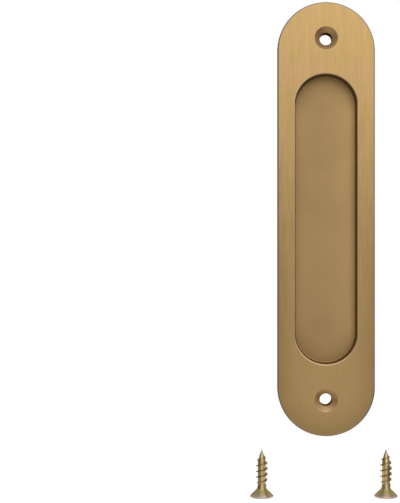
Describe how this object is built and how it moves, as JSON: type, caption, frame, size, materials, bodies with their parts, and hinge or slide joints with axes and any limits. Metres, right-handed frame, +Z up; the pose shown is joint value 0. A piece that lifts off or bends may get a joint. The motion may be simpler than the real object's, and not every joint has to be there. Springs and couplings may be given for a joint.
{
  "type": "pocket door pull",
  "caption": "Oval flush pull for a sliding pocket door, with a long rounded finger recess, a countersunk screw hole at each end and its wood screws, in satin brass.",
  "frame": {"origin": "centre of the pull on the surface of the door, which the back of the face plate lies on", "axes": "+Z up the door along the pull's length, +X to the right as seen from the face, -Y out of the door towards the hand, +Y into the door"},
  "size_m": [0.06, 0.0147, 0.202],
  "materials": {
    "satin_brass": "satin",
    "zinc_plated_steel": "satin"
  },
  "bodies": {
    "root": {"pull_body": "satin_brass", "left_screw": "zinc_plated_steel", "right_screw": "zinc_plated_steel"}
  },
  "joints": []
}
